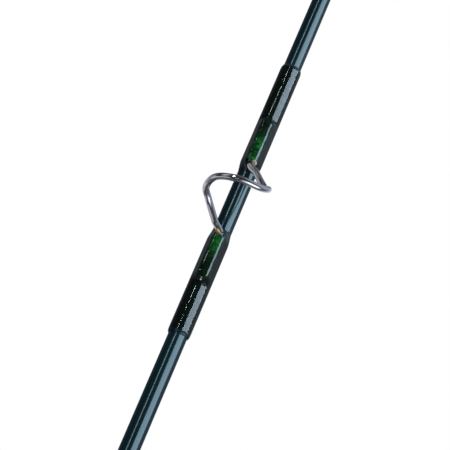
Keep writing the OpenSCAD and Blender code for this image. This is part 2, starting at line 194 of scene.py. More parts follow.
def guide_place(i):
    """(middle height, size against a full-size guide, height of the feet's middle over the axis, wire radius)."""
    low, high = node_span(f"snake_guide_{i}")
    scale = (high - low) / FULL_GUIDE
    z = (low + high) / 2
    wire = size("wire_diameter") / 2 * scale
    foot_y = blank_radius(z - (GUIDE_HALF + GUIDE_FOOT) * scale) + wire + GLUE
    return z, scale, foot_y, wire


def guide_wraps(i):
    z, scale, foot_y, wire = guide_place(i)
    return [
        Wrap(z + up * GUIDE_HALF * scale, up, (UPPER_WRAP if up > 0 else LOWER_WRAP) * scale,
             Foot(GUIDE_FOOT * scale, foot_y, wire + GLUE), body=guide_body(i))
        for up in (-1, 1)
    ]


# Flat feet: (width, thickness, length), where they start from the piece's middle, their wrap's length,
# how deep their rounded form sits and how much of each foot the wrap leaves bare
STRIP_FEET = ((1.7, 0.6, 8.0), 9.0, 13.0, 1.0, 2)
KEEPER_FEET = ((1.8, 0.5, 6.4), 3.6, 9.0, 1.2, 1.2)
STRIP_START = STRIP_FEET[1]
TIP_TUBE, TIP_WRAP, FERRULE_WRAP = 8.0, 8.0, 20.0
GRIP_START, CORKS, CORK_LENGTH = 110, 13, 12.7
GRIP_END = GRIP_START + CORKS * CORK_LENGTH
KEEPER_Z = GRIP_END + 25


def strip_z():
    low, high = node_span("stripping_ring")
    return (low + high) / 2


def flat_foot_wraps(z, body, foot, start, length, depth, bare):
    """(height of the feet's underside over the axis, the two wraps) for flat feet on either side of z."""
    base = blank_radius(z - start - foot[2]) + GLUE
    rounded = math.hypot(foot[0] / 2, foot[1] + depth) + GLUE
    wraps = [Wrap(z + up * start, up, length, Foot(foot[2], base - depth, rounded), body=body) for up in (-1, 1)]
    for wrap in wraps:
        wrap.z += wrap.up * bare
        wrap.foot.length -= bare
    return base, wraps


def strip_wraps():
    return flat_foot_wraps(strip_z(), "lower_mid_section", *STRIP_FEET)


def keeper_wraps():
    return flat_foot_wraps(KEEPER_Z, "butt_section", *KEEPER_FEET)


def ferrule_wrap(name):
    z = node_span(f"{name}_blank")[0]
    return Wrap(z + 1, 1, FERRULE_WRAP - 1, radius=socket_radius, body=f"{name}_section", open_ends=True)


def tip_wrap():
    return Wrap(ROD_LENGTH - TIP_TUBE - 0.1, -1, TIP_WRAP, body="tip_section", open_ends=True)


# ---- Mesh helpers ----


def smooth_step(x, low, high):
    t = np.clip((np.asarray(x, float) - low) / (high - low), 0, 1)
    return t * t * (3 - 2 * t)


# How softly a coat's flat top meets its sides
TOP_BLEND = 0.05


def outline(turn, z, wrap, along, grow, broad=0.0):
    """Distance from the axis to a wrap's outer form, at an angle from the -Y side and a height.
    Broad is how far the form runs out beside the foot while its top stays flat."""
    big = wrap.radius(z) + grow
    plain = big + 0 * turn
    if wrap.foot is None:
        return plain
    small = wrap.foot.r + grow + broad
    lean = np.arccos(np.clip((big - small) / wrap.foot.off, -1, 1))
    away = np.abs((turn + np.pi) % (2 * np.pi) - np.pi)
    tangent = big / np.cos(np.clip(lean - away, 0, 1.5))
    meet = np.arctan2(small * np.sin(lean), wrap.foot.off + small * np.cos(lean))
    inside = np.clip(small ** 2 - (wrap.foot.off * np.sin(away)) ** 2, 0, None)
    over = wrap.foot.off * np.cos(away) + np.sqrt(inside)
    if broad:
        flat = (wrap.foot.off + small - broad) / np.cos(np.clip(away, 0, 1.2))
        over = -TOP_BLEND * np.logaddexp(-over / TOP_BLEND, -flat / TOP_BLEND)
    ridge = np.where(away < meet, over, np.where(away < lean, tangent, plain))
    share = 1 - smooth_step(along, wrap.foot.length - 1.0, wrap.foot.length + 0.25)
    share = share * smooth_step(along, -1.5, -0.3)
    return plain + share * (ridge - plain)


def uneven_turn(t, gather):
    """Angles round the rod that gather on the foot's side, for t from 0 to 1 a turn."""
    return 2 * np.pi * t - gather * np.sin(2 * np.pi * t)


def round_points(turn, r, z):
    return np.stack([r * np.sin(turn), -r * np.cos(turn), z + 0 * turn], axis=-1)


def face_outwards(mesh):
    co = np.zeros(len(mesh.vertices) * 3)
    mesh.vertices.foreach_get("co", co)
    co = co.reshape(-1, 3)
    mesh.calc_loop_triangles()
    tri = np.zeros(len(mesh.loop_triangles) * 3, np.int32)
    mesh.loop_triangles.foreach_get("vertices", tri)
    a, b, c = (co[tri.reshape(-1, 3)[:, k]] for k in range(3))
    if np.einsum("ij,ij->i", a, np.cross(b, c)).sum() < 0:
        mesh.flip_normals()


def add_object(name, data):
    """A new object for a mesh, a light or a camera, in the scene."""
    added = bpy.data.objects.new(name, data)
    bpy.context.scene.collection.objects.link(added)
    return added


def make_piece(name, points, faces, material, crease=35):
    """A mesh object from points in millimetres."""
    mesh = bpy.data.meshes.new(name)
    mesh.from_pydata((np.asarray(points) * MM).tolist(), [], faces)
    face_outwards(mesh)
    mesh.shade_smooth()
    mesh.set_sharp_from_angle(angle=math.radians(crease))
    mesh.materials.append(material)
    return add_object(name, mesh)


def skin(rings, closed=False):
    """Points and faces over rings of equal count; closed joins the last ring to the first, else poles cap it."""
    count, around = len(rings), len(rings[0])
    points = [tuple(p) for ring in rings for p in ring]
    faces = []
    for i in range(count if closed else count - 1):
        a, b = i * around, ((i + 1) % count) * around
        for j in range(around):
            k = (j + 1) % around
            faces.append((a + j, a + k, b + k, b + j))
    if not closed:
        for ring, flip in ((0, True), (count - 1, False)):
            middle = np.mean(rings[ring], axis=0)
            points.append(tuple(middle))
            pole = len(points) - 1
            for j in range(around):
                a, b = ring * around + j, ring * around + (j + 1) % around
                faces.append((b, a, pole) if flip else (a, b, pole))
    return points, faces


def rounded_profile(profile, radius, steps):
    """The closed profile with each corner replaced by a short curve."""
    result = []
    count = len(profile)
    for i, corner in enumerate(profile):
        corner = np.array(corner, float)
        before = np.array(profile[i - 1], float) - corner
        after = np.array(profile[(i + 1) % count], float) - corner
        reach = min(radius, 0.45 * np.linalg.norm(before), 0.45 * np.linalg.norm(after))
        a = corner + before / np.linalg.norm(before) * reach
        b = corner + after / np.linalg.norm(after) * reach
        for k in range(steps + 1):
            t = k / steps
            result.append(tuple((1 - t) ** 2 * a + 2 * t * (1 - t) * corner + t ** 2 * b))
    return result


def lathe_rings(profile, around, centre=(0, 0)):
    turn = np.arange(around) * 2 * np.pi / around
    rings = []
    for r, z in profile:
        ring = round_points(turn, np.full(around, float(r)), z)
        rings.append(ring + np.array([centre[0], centre[1], 0]))
    return rings


def lathe(name, profile, material, around, centre=(0, 0)):
    """A turned piece with a closed profile."""
    return make_piece(name, *skin(lathe_rings(profile, around, centre), closed=True), material)


def join_parts(parts):
    """Several (points, faces) as one."""
    points, faces = [], []
    for more_points, more_faces in parts:
        start = len(points)
        points.extend(more_points)
        faces.extend(tuple(start + v for v in face) for face in more_faces)
    return points, faces


def hermite(a, b, ta, tb, u):
    return ((2 * u ** 3 - 3 * u ** 2 + 1) * a + (u ** 3 - 2 * u ** 2 + u) * ta
            + (3 * u ** 2 - 2 * u ** 3) * b + (u ** 3 - u ** 2) * tb)


def smooth_line(points, first, last, steps):
    """A smooth line through points that leaves the first along first and meets the last along last."""
    p = [np.array(q, float) for q in points]
    t = [(p[min(i + 1, len(p) - 1)] - p[max(i - 1, 0)]) / 2 for i in range(len(p))]
    t[0], t[-1] = np.array(first, float), np.array(last, float)
    line = [hermite(p[i], p[i + 1], t[i], t[i + 1], k / steps) for i in range(len(p) - 1) for k in range(steps)]
    return np.array(line + [p[-1]])


# ---- The tree that turns a line into wire or thread ----


def made_once(store, name):
    """Finds a maker's material or node group by its name, and makes it on its first use."""
    def decorate(maker):
        def once():
            return getattr(bpy.data, store).get(name) or maker(name)
        return once
    return decorate


@made_once("node_groups", "Round wire")
def round_wire_tree(name):
    """Sweeps a round section along a line of edges; the attribute thickness scales it at each point."""
    tree = bpy.data.node_groups.new(name, "GeometryNodeTree")
    for label, way, kind, default in (
        ("Line", "INPUT", "Geometry", None), ("Wire radius", "INPUT", "Float", 0.0005), ("Sides", "INPUT", "Int", 12),
        ("Finish", "INPUT", "Material", None), ("Wire", "OUTPUT", "Geometry", None),
    ):
        socket = tree.interface.new_socket(label, in_out=way, socket_type=f"NodeSocket{kind}")
        if default is not None:
            socket.default_value = default
    kinds = ("NodeGroupInput", "GeometryNodeMeshToCurve", "GeometryNodeCurvePrimitiveCircle",
             "GeometryNodeInputNamedAttribute", "GeometryNodeCurveToMesh", "GeometryNodeSetShadeSmooth",
             "GeometryNodeRealizeInstances", "GeometryNodeSetMaterial", "NodeGroupOutput")
    nodes = [tree.nodes.new(kind) for kind in kinds]
    given, to_curve, section, thickness, wire, shade, real, finish, out = nodes
    thickness.data_type = "FLOAT"
    thickness.inputs["Name"].default_value = "thickness"
    wire.inputs["Fill Caps"].default_value = True
    for source, output, target, socket in (
        (given, "Line", to_curve, "Mesh"), (given, "Sides", section, "Resolution"),
        (given, "Wire radius", section, "Radius"), (to_curve, "Curve", wire, "Curve"),
        (section, "Curve", wire, "Profile Curve"), (thickness, "Attribute", wire, "Scale"),
        (wire, "Mesh", shade, "Geometry"), (shade, "Geometry", real, "Geometry"),
        (real, "Geometry", finish, "Geometry"), (given, "Finish", finish, "Material"),
        (finish, "Geometry", out, "Wire"),
    ):
        tree.links.new(source.outputs[output], target.inputs[socket])
    for place, node in enumerate(nodes):
        node.location = (200 * place, 0)
    return tree


def sweep(name, lines, radius, sides, material):
    """Wire along each (points, thickness) of lines, radius in millimetres, made with the Round wire tree."""
    points, edges, thick = [], [], []
    for line, scale in lines:
        start = len(points)
        points.extend((np.asarray(line) * MM).tolist())
        edges.extend((start + i, start + i + 1) for i in range(len(line) - 1))
        thick.extend(np.broadcast_to(scale, len(line)).tolist())
    mesh = bpy.data.meshes.new(name + "_line")
    mesh.from_pydata(points, edges, [])
    mesh.attributes.new("thickness", "FLOAT", "POINT").data.foreach_set("value", thick)
    line_object = add_object(name + "_line", mesh)
    tree = round_wire_tree()
    modifier = line_object.modifiers.new("Round wire", "NODES")
    modifier.node_group = tree
    keys = {item.name: item.identifier for item in tree.interface.items_tree if item.in_out == "INPUT"}
    for label, value in (("Wire radius", radius * MM), ("Sides", sides), ("Finish", material)):
        modifier[keys[label]] = value
    bpy.context.view_layer.update()
    seen = line_object.evaluated_get(bpy.context.evaluated_depsgraph_get())
    wire = bpy.data.meshes.new_from_object(seen)
    line_object.modifiers.remove(modifier)
    bpy.data.objects.remove(line_object)
    bpy.data.meshes.remove(mesh)
    wire.name = name
    if "thickness" in wire.attributes:
        wire.attributes.remove(wire.attributes["thickness"])
    face_outwards(wire)
    wire.shade_smooth()
    wire.set_sharp_from_angle(angle=math.radians(60))
    return add_object(name, wire)


def settle(piece, body, slot, *nodes):
    """The piece rides on its body and stands for the CAD nodes, which it hides; the slot is not used."""
    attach(piece, body)
    if nodes:
        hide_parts(*nodes)


# ---- Material helpers and the effects that materials share ----


def feed(tree, socket, value):
    """Links the socket to another node's output, or sets it to a value."""
    if isinstance(value, bpy.types.NodeSocket):
        tree.links.new(value, socket)
    else:
        socket.default_value = value


def add_node(tree, kind, settings=None, **inputs):
    """A node; an input is named, or given by its number after an n."""
    node = tree.nodes.new(kind)
    for key, value in (settings or {}).items():
        setattr(node, key, value)
    for key, value in inputs.items():
        by_number = key[0] == "n" and key[1:].isdigit()
        feed(tree, node.inputs[int(key[1:]) if by_number else key.replace("_", " ")], value)
    return node


def maths(tree, operation, *values, kind="ShaderNodeMath", **settings):
    """The result of a Math node, or of a Vector Math node."""
    numbered = {f"n{i}": value for i, value in enumerate(values)}
    return add_node(tree, kind, {"operation": operation, **settings}, **numbered).outputs[0]


def remap(tree, value, to, source=(0.0, 1.0)):
    """The value with its source range stretched to another range."""
    return add_node(tree, "ShaderNodeMapRange", Value=value, From_Min=source[0], From_Max=source[1],
                    To_Min=to[0], To_Max=to[1]).outputs[0]


def mix_colours(tree, factor, a, b):
    mix = add_node(tree, "ShaderNodeMix", {"data_type": "RGBA"}, n0=factor, n6=a, n7=b)
    return mix.outputs[2]


def new_group(name, outputs, **inputs):
    """An empty shader group that takes coordinates and these numbers, as (tree, its inputs, its outputs)."""
    tree = bpy.data.node_groups.new(name, "ShaderNodeTree")
    tree.interface.new_socket("Coordinates", in_out="INPUT", socket_type="NodeSocketVector")
    for label, value in inputs.items():
        socket = tree.interface.new_socket(label.replace("_", " "), in_out="INPUT", socket_type="NodeSocketFloat")
        socket.default_value = value
    for label in outputs:
        tree.interface.new_socket(label, in_out="OUTPUT", socket_type="NodeSocketFloat")
    return tree, tree.nodes.new("NodeGroupInput").outputs, tree.nodes.new("NodeGroupOutput").inputs


def noise_mask(tree, given, out, **inputs):
    """Gives a group its Height, a noise, and its Mask, the noise with the group's contrast."""
    noise = add_node(tree, "ShaderNodeTexNoise", **inputs).outputs["Fac"]
    centred = maths(tree, "SUBTRACT", noise, 0.5)
    feed(tree, out["Mask"], maths(tree, "MULTIPLY_ADD", centred, given["Contrast"], 0.5, use_clamp=True))
    feed(tree, out["Height"], noise)
    return tree


@made_once("node_groups", "Drawn lines")
def drawn_lines_group(name):
    """Fine lines that run along the rod: fibres under lacquer, or the drawing marks of wire."""
    tree, given, out = new_group(name, ("Mask", "Height"), Across=4000.0, Along=60.0, Contrast=1.0)
    stretch = add_node(tree, "ShaderNodeCombineXYZ", X=given["Across"], Y=given["Across"], Z=given["Along"])
    placed = maths(tree, "MULTIPLY", given["Coordinates"], stretch.outputs[0], kind="ShaderNodeVectorMath")
    return noise_mask(tree, given, out, Vector=placed, Scale=1.0, Detail=3.0, Roughness=0.6)


@made_once("node_groups", "Speckle")
def speckle_group(name):
    """Soft blotches of one size with finer ones on them, which nearly every material uses."""
    tree, given, out = new_group(name, ("Mask", "Height"), Scale=500.0, Contrast=2.0, Detail=4.0)
    return noise_mask(tree, given, out, Vector=given["Coordinates"], Scale=given["Scale"], Detail=given["Detail"],
                      Roughness=0.55)


@made_once("node_groups", "Scuffs")
def scuff_group(name):
    """Rare fine scuffs that raise the roughness of a handled surface."""
    tree, given, out = new_group(name, ("Roughness",), Scale=900.0, Clean=0.1, Scuffed=0.3)
    cells = add_node(tree, "ShaderNodeTexVoronoi", {"feature": "DISTANCE_TO_EDGE"}, Vector=given["Coordinates"],
                     Scale=given["Scale"])
    patches = add_node(tree, "ShaderNodeTexNoise", Vector=given["Coordinates"], Scale=160.0, Detail=2.0)
    line = remap(tree, cells.outputs["Distance"], (1.0, 0.0), (0.0, 0.06))
    where = remap(tree, patches.outputs["Fac"], (0.0, 1.0), (0.5, 0.65))
    mask = maths(tree, "MULTIPLY", line, where)
    feed(tree, out["Roughness"], remap(tree, mask, (given["Clean"], given["Scuffed"])))
    return tree


@made_once("node_groups", "Cork rings")
def ring_group(name):
    """For each cork ring its own share of a warmer tint, and the thin seam between it and the next."""
    tree, given, out = new_group(name, ("Tint", "Seam"), Start=GRIP_START * MM, Ring_length=CORK_LENGTH * MM)
    height = add_node(tree, "ShaderNodeSeparateXYZ", Vector=given["Coordinates"]).outputs["Z"]
    above = maths(tree, "SUBTRACT", height, given["Start"])
    count = maths(tree, "DIVIDE", above, given["Ring length"])
    whole = maths(tree, "FLOOR", count)
    nearest = maths(tree, "PINGPONG", count, 0.5)
    feed(tree, out["Seam"], remap(tree, nearest, (0.55, 0.0), (0.004, 0.016)))
    chance = add_node(tree, "ShaderNodeTexWhiteNoise", {"noise_dimensions": "1D"}, W=whole)
    feed(tree, out["Tint"], remap(tree, chance.outputs["Value"], (0.0, 0.75)))
    return tree


def use_group(tree, group, place, **inputs):
    """The outputs of a shared group at these coordinates."""
    return add_node(tree, "ShaderNodeGroup", {"node_tree": group}, Coordinates=place, **inputs).outputs


def new_material(name, **constants):
    """(material, its tree, the sockets of its Principled shader, object coordinates)."""
    material = bpy.data.materials.new(name)
    material.use_nodes = True
    tree = material.node_tree
    shader = tree.nodes["Principled BSDF"].inputs
    for key, value in constants.items():
        shader[key.replace("_", " ")].default_value = value
    return material, tree, shader, tree.nodes.new("ShaderNodeTexCoord").outputs["Object"]


def bump(tree, shader, height, distance, strength):
    node = add_node(tree, "ShaderNodeBump", Strength=strength, Distance=distance, Height=height)
    feed(tree, shader["Normal"], node.outputs[0])


def scuffed(tree, shader, place, scale, clean, worn):
    """Scuffs on the roughness."""
    rough = use_group(tree, scuff_group(), place, Scale=scale, Clean=clean, Scuffed=worn)
    feed(tree, shader["Roughness"], rough["Roughness"])


def dyed(name, *factors):
    """A colour from the panel, times one factor or one for each channel."""
    return tuple(min(1.0, factor * c) for factor, c in zip(factors * 3, colour(name)[:3])) + (1.0,)


def two_tone(name, scale, contrast, first, second, scuffs=None, bumps=None, **constants):
    """A material speckled between two colours; scuffs are (scale, clean, worn), bumps (distance, strength)."""
    material, tree, shader, place = new_material(name, **constants)
    grain = use_group(tree, speckle_group(), place, Scale=scale, Contrast=contrast)
    if scuffs:
        scuffed(tree, shader, place, *scuffs)
    feed(tree, shader["Base Color"], mix_colours(tree, grain["Mask"], first, second))
    if bumps:
        bump(tree, shader, grain["Height"], *bumps)
    return material


# ---- Materials ----


@made_once("materials", "lacquered_blank")
def lacquered_blank(name):
    material, tree, shader, place = new_material(
        name, Roughness=0.17, IOR=1.55, Specular_Tint=(0.8, 0.96, 0.98, 1.0))
    fibres = use_group(tree, drawn_lines_group(), place, Across=2600.0, Along=45.0, Contrast=2.2)
    clouds = use_group(tree, speckle_group(), place, Scale=240.0, Contrast=1.4)
    share = maths(tree, "MULTIPLY", fibres["Mask"], clouds["Mask"])
    feed(tree, shader["Base Color"], mix_colours(tree, share, colour("blank"), colour("blank_shade")))
    bump(tree, shader, fibres["Height"], 0.00002, 0.35)
    return material


@made_once("materials", "winding_thread")
def winding_thread(name):
    """Dark soaked thread, brighter in slanted, patchy bands where it lies over a metal foot; the brightening is
    painted light from the foot beneath, and the dark slanted bands are painted shade between the turns.
    """
    material, tree, shader, place = new_material(name, Specular_IOR_Level=0.08)
    # Painted light from the metal foot beneath, stored on the thread's points
    painted_foot_light = add_node(tree, "ShaderNodeAttribute", {"attribute_name": "painted_foot_light"}).outputs["Fac"]
    strands = use_group(tree, speckle_group(), place, Scale=5200.0, Contrast=2.6, Detail=2.0)
    patches = use_group(tree, speckle_group(), place, Scale=900.0, Contrast=2.4, Detail=2.0)
    varied = remap(tree, patches["Mask"], (0.55, 1.0))
    # Slanted dark bands across the turns: painted shade in the grooves between them
    across = add_node(tree, "ShaderNodeMapping", Vector=place, Rotation=(0.0, 0.4, 0.0), Scale=(900.0, 900.0, 4300.0))
    turns = use_group(tree, speckle_group(), across.outputs["Vector"], Scale=1.0, Contrast=7.5, Detail=2.0)
    painted_groove_shade = remap(tree, turns["Mask"], (0.22, 1.05))
    patchy = maths(tree, "MULTIPLY", painted_foot_light, varied)
    lit = maths(tree, "MULTIPLY", patchy, painted_groove_shade)
    base = mix_colours(tree, lit, colour("thread_dark"), colour("thread_lit_by_foot"))
    feed(tree, shader["Base Color"], mix_colours(tree, strands["Mask"], base, (0, 0.008, 0.003, 1)))
    feed(tree, shader["Roughness"], remap(tree, lit, (0.62, 0.26)))
    bump(tree, shader, strands["Height"], 0.00001, 0.5)
    return material


@made_once("materials", "clear_varnish")
def clear_varnish(name):
    material, tree, shader, place = new_material(name, Transmission_Weight=1.0, IOR=1.52, Roughness=0.015)
    clouds = use_group(tree, speckle_group(), place, Scale=160.0, Contrast=1.6, Detail=1.0)
    aged = dyed("varnish", 0.985, 0.985, 0.955)
    feed(tree, shader["Base Color"], mix_colours(tree, clouds["Mask"], colour("varnish"), aged))
    waves = use_group(tree, speckle_group(), place, Scale=420.0, Contrast=1.0, Detail=1.0)
    bump(tree, shader, waves["Height"], 0.00003, 0.5)
    return material


def bead_of(name, tint):
    return two_tone(name, 1500.0, 3.0, colour(tint), dyed(tint, 0.35), Roughness=0.12, Coat_Weight=1.0,
                    Coat_Roughness=0.03, IOR=1.52, Subsurface_Weight=0.35, Subsurface_Scale=0.0006)


# Amber varnish bead: its own amber tint plus painted light through the drop
@made_once("materials", "amber_bead")
def amber_bead(name):
    return bead_of(name, "amber_and_painted_light")


# A clear varnish bead, painted pale with the light refracted through it
@made_once("materials", "cream_bead")
def cream_bead(name):
    return bead_of(name, "painted_upper_bead_light")


@made_once("materials", "bright_chrome")
def bright_chrome(name):
    material, tree, shader, place = new_material(name, Metallic=1.0)
    lines = use_group(tree, drawn_lines_group(), place, Across=2600.0, Along=900.0, Contrast=1.2)
    scuffed(tree, shader, place, 1400.0, 0.05, 0.16)
    feed(tree, shader["Base Color"], mix_colours(tree, lines["Mask"], colour("chrome"), dyed("chrome", 0.8)))
    bump(tree, shader, lines["Height"], 0.000012, 0.6)
    return material


@made_once("materials", "black_anodised")
def black_anodised(name):
    return two_tone(name, 3500.0, 1.5, colour("anodised"), dyed("anodised", 1.5), (260.0, 0.28, 0.45),
                    (0.00002, 0.4), Metallic=0.85)


@made_once("materials", "polished_check")
def polished_check(name):
    return two_tone(name, 2400.0, 1.2, (0.78, 0.79, 0.8, 1), (0.62, 0.63, 0.65, 1), (500.0, 0.16, 0.34),
                    Metallic=1.0)


@made_once("materials", "black_ceramic")
def black_ceramic(name):
    return two_tone(name, 4000.0, 1.6, colour("ceramic"), dyed("ceramic", 2.5), Roughness=0.12, Coat_Weight=0.6,
                    Coat_Roughness=0.03)


@made_once("materials", "burl_wood")
def burl_wood(name):
    material, tree, shader, place = new_material(name, Roughness=0.4, Coat_Weight=0.8, Coat_Roughness=0.08)
    swirl = add_node(tree, "ShaderNodeTexNoise", Vector=place, Scale=70.0, Detail=3.0)
    warp = maths(tree, "MULTIPLY_ADD", swirl.outputs["Color"], (0.02, 0.02, 0.02), place, kind="ShaderNodeVectorMath")
    rings = add_node(tree, "ShaderNodeTexNoise", Vector=warp, Scale=260.0, Detail=5.0, Roughness=0.65,
                     Distortion=1.6)
    pores = use_group(tree, drawn_lines_group(), place, Across=2200.0, Along=260.0, Contrast=2.0)
    figure = remap(tree, rings.outputs["Fac"], (0.0, 1.0), (0.35, 0.66))
    body = mix_colours(tree, figure, colour("wood_dark"), colour("wood"))
    fine = remap(tree, pores["Mask"], (0.0, 0.45))
    feed(tree, shader["Base Color"], mix_colours(tree, fine, body, colour("wood_dark")))
    bump(tree, shader, pores["Height"], 0.00003, 0.3)
    return material


@made_once("materials", "sanded_cork")
def sanded_cork(name):
    material, tree, shader, place = new_material(name, Roughness=0.78, Sheen_Weight=0.15)
    grain = use_group(tree, speckle_group(), place, Scale=900.0, Contrast=1.6)
    tint = use_group(tree, speckle_group(), place, Scale=75.0, Contrast=1.4, Detail=2.0)
    squash = maths(tree, "MULTIPLY", place, (1.0, 1.0, 2.6), kind="ShaderNodeVectorMath")
    cells = add_node(tree, "ShaderNodeTexVoronoi", Vector=squash, Scale=210.0, Randomness=1.0)
    pits = remap(tree, cells.outputs["Distance"], (1.0, 0.0), (0.16, 0.3))
    rare = use_group(tree, speckle_group(), place, Scale=260.0, Contrast=5.0, Detail=1.0)
    pit = maths(tree, "MULTIPLY", pits, rare["Mask"])
    warm, pitted = dyed("cork", 0.72), colour("cork_dark")
    body = mix_colours(tree, tint["Mask"], dyed("cork", 1.25), warm)
    ring = use_group(tree, ring_group(), place)
    body = mix_colours(tree, ring["Tint"], body, warm)
    body = mix_colours(tree, remap(tree, grain["Mask"], (0.0, 0.35)), body, pitted)
    body = mix_colours(tree, ring["Seam"], body, pitted)
    feed(tree, shader["Base Color"], mix_colours(tree, pit, body, pitted))
    bump(tree, shader, maths(tree, "MULTIPLY_ADD", pit, -1.0, grain["Height"]), 0.0003, 0.7)
    return material


@made_once("materials", "soft_solder")
def soft_solder(name):
    material, tree, shader, place = new_material(name, Metallic=1.0)
    grain = use_group(tree, speckle_group(), place, Scale=2600.0, Contrast=1.6)
    feed(tree, shader["Roughness"], remap(tree, grain["Mask"], (0.24, 0.42)))
    feed(tree, shader["Base Color"], mix_colours(tree, grain["Mask"], (0.6, 0.6, 0.6, 1), (0.45, 0.45, 0.46, 1)))
    bump(tree, shader, grain["Height"], 0.00004, 0.5)
    return material


@made_once("materials", "dot_paint")
def dot_paint(name):
    return two_tone(name, 3000.0, 1.2, (0.75, 0.76, 0.72, 1), (0.6, 0.62, 0.58, 1), Roughness=0.4, Coat_Weight=0.5)


@made_once("materials", "studio_floor")
def studio_floor(name):
    return two_tone(name, 3.0, 0.5, colour("floor"), dyed("floor", 0.97), Roughness=0.9, Specular_IOR_Level=0.1)


def refinish(material, *nodes):
    """Gives carried-over CAD nodes a material."""
    for name in nodes:
        node = frame["nodes"][name]
        node.data.materials.clear()
        node.data.materials.append(material)


# ---- Blank ----

# A ferrule's socket: its length, the taper above it and its play; and the dots' places and size
SOCKET_LENGTH, SOCKET_TAPER = 45, 40
DOT_ABOVE, DOT_BELOW, DOT_RADIUS = 25.5, 4.0, 0.75


def blank_bore(z):
    return blank_radius(z) - blank_wall(z)


def make_blank(part):
    """A tapered tube; each one but the first starts with a socket and tapers down from it."""
    low, high = node_span(f"{part}_blank")
    if part not in FERRULES:
        profile = [(blank_radius(low), low), (blank_radius(high), high), (blank_bore(high), high),
                   (blank_bore(low), low)]
    else:
        plain = low + SOCKET_LENGTH
        after = plain + SOCKET_TAPER
        top, end = socket_radius(plain), blank_radius(after)
        steps = [k / 8 for k in range(1, 8)]
        profile = [(socket_radius(low), low), (top, plain)]
        profile += [(top + (end - top) * step, plain + (after - plain) * step) for step in steps]
        profile += [(end, after), (blank_radius(high), high), (blank_bore(high), high), (blank_bore(after), after),
                    (blank_radius(plain) + SOCKET_GAP, plain), (blank_radius(low) + SOCKET_GAP, low)]
    settle(lathe(f"{part}_tube", profile, lacquered_blank(), 96), f"{part}_section", "blank", f"{part}_blank")


def make_ferrule_dots():
    """A painted dot on either side of each ferrule, which line the guides up."""
    turn = np.arange(20) * 2 * np.pi / 20
    for k, name in enumerate(FERRULES):
        z = node_span(f"{name}_blank")[0]
        for body, height, surface in (
            (f"{name}_section", z + DOT_ABOVE, socket_radius),
            (f"{PARTS[k]}_section", z - DOT_BELOW, blank_radius),
        ):
            rings = []
            for share in (1.0, 0.8, 0.4):
                across = DOT_RADIUS * share * np.cos(turn)
                up = DOT_RADIUS * share * np.sin(turn)
                lift = surface(height) + 0.05 * (1 - share ** 2) + 0.012
                rings.append(np.stack([across, -np.sqrt(lift ** 2 - across ** 2), height + up], -1))
            under = rings[0].copy()
            under[:, 1] += 0.1
            settle(make_piece(f"{body}_dot_{k}", *skin([under] + rings), dot_paint()), body, "thread")


# ---- Snake guides ----


def half_loop():
    width, rise = size("loop_half"), size("loop_rise")
    return [(0, 0, GUIDE_HALF), (0.36 * width, 0.108 * rise, 0.716 * GUIDE_HALF),
            (0.8 * width, 0.289 * rise, 0.386 * GUIDE_HALF), (width, 0.553 * rise, 0.234 * GUIDE_HALF),
            (0.753 * width, 0.837 * rise, 0.065 * GUIDE_HALF), (0, rise, 0)]


def guide_line(i, steps=14):
    z, scale, foot_y, _ = guide_place(i)
    half = half_loop()
    loop = half + [(-x, h, -a) for x, h, a in half[-2::-1]]
    placed = [(scale * x, -foot_y - scale * h, z + scale * a) for x, h, a in loop]
    along = np.array([0, 0, scale * GUIDE_HALF / 2])
    return smooth_line(placed, -along, -along, steps)


def make_snake_guide(i):
    """The bent wire: its feet lie on the blank and are ground down towards their ends."""
    _, scale, foot_y, wire = guide_place(i)
    line = guide_line(i)
    foot = GUIDE_FOOT * scale
    ground = [(0, 0.1), (0.08, 0.2), (0.2, 0.34), (0.35, 0.5), (0.55, 0.7), (0.8, 0.88), (1.2, 1), (4, 1), (7.3, 1)]
    steps, thin = np.array(ground).T * [[scale], [1]]
    upper = np.array([(0, -foot_y + (1 - t) * wire, line[0][2] + foot - s) for s, t in zip(steps, thin)])
    lower = np.array([(0, -foot_y + (1 - t) * wire, line[-1][2] - foot + s) for s, t in zip(steps, thin)])
    path = np.concatenate([upper, line, lower[::-1]])
    thick = np.concatenate([thin, np.ones(len(line)), thin[::-1]])
    piece = sweep(f"snake_guide_wire_{i}", [(path, thick)], wire, 20, bright_chrome())
    settle(piece, guide_body(i), "wire", f"snake_guide_{i}")


# ---- Thread and varnish ----

# How strongly points gather on the foot's side of a thread and of a varnish coat
THREAD_GATHER, COAT_GATHER = 0.55, 0.5
# How much fatter than its pitch a thread is, so that turns touch, and the sides of its section
THREAD_SQUEEZE, THREAD_SIDES = 1.02, 5
# How far varnish runs past a wrap, the depth it is made to, and how far it runs out beside a foot
COAT_OVERRUN, COAT_DEPTH, COAT_BROAD = 0.8, 0.12, 0.22


def winding_line(wrap):
    """The thread's middle line, turn beside turn over the foot and the blank."""
    thread = size("thread_diameter")
    turns = int((wrap.length + THREAD_RUN_OUT) / thread) - 1
    per_turn = int(18 + 3 * wrap.radius(wrap.z)) if wrap.foot is None else 28
    t = np.arange(turns * per_turn + 1) / per_turn
    along = thread * (t + 0.5)
    z = wrap.z + wrap.up * along
    turn = uneven_turn(t % 1, THREAD_GATHER if wrap.foot else 0.0)
    r = outline(turn, z, wrap, along, thread / 2)
    return np.stack([r * np.sin(turn), -r * np.cos(turn), z], -1)


def make_winding(name, wraps, *nodes):
    radius = size("thread_diameter") / 2 * THREAD_SQUEEZE
    piece = sweep(name, [(winding_line(w), 1.0) for w in wraps], radius, THREAD_SIDES, winding_thread())
    mark_painted_foot_light(piece, wraps)
    settle(piece, wraps[0].body, "thread", *nodes)


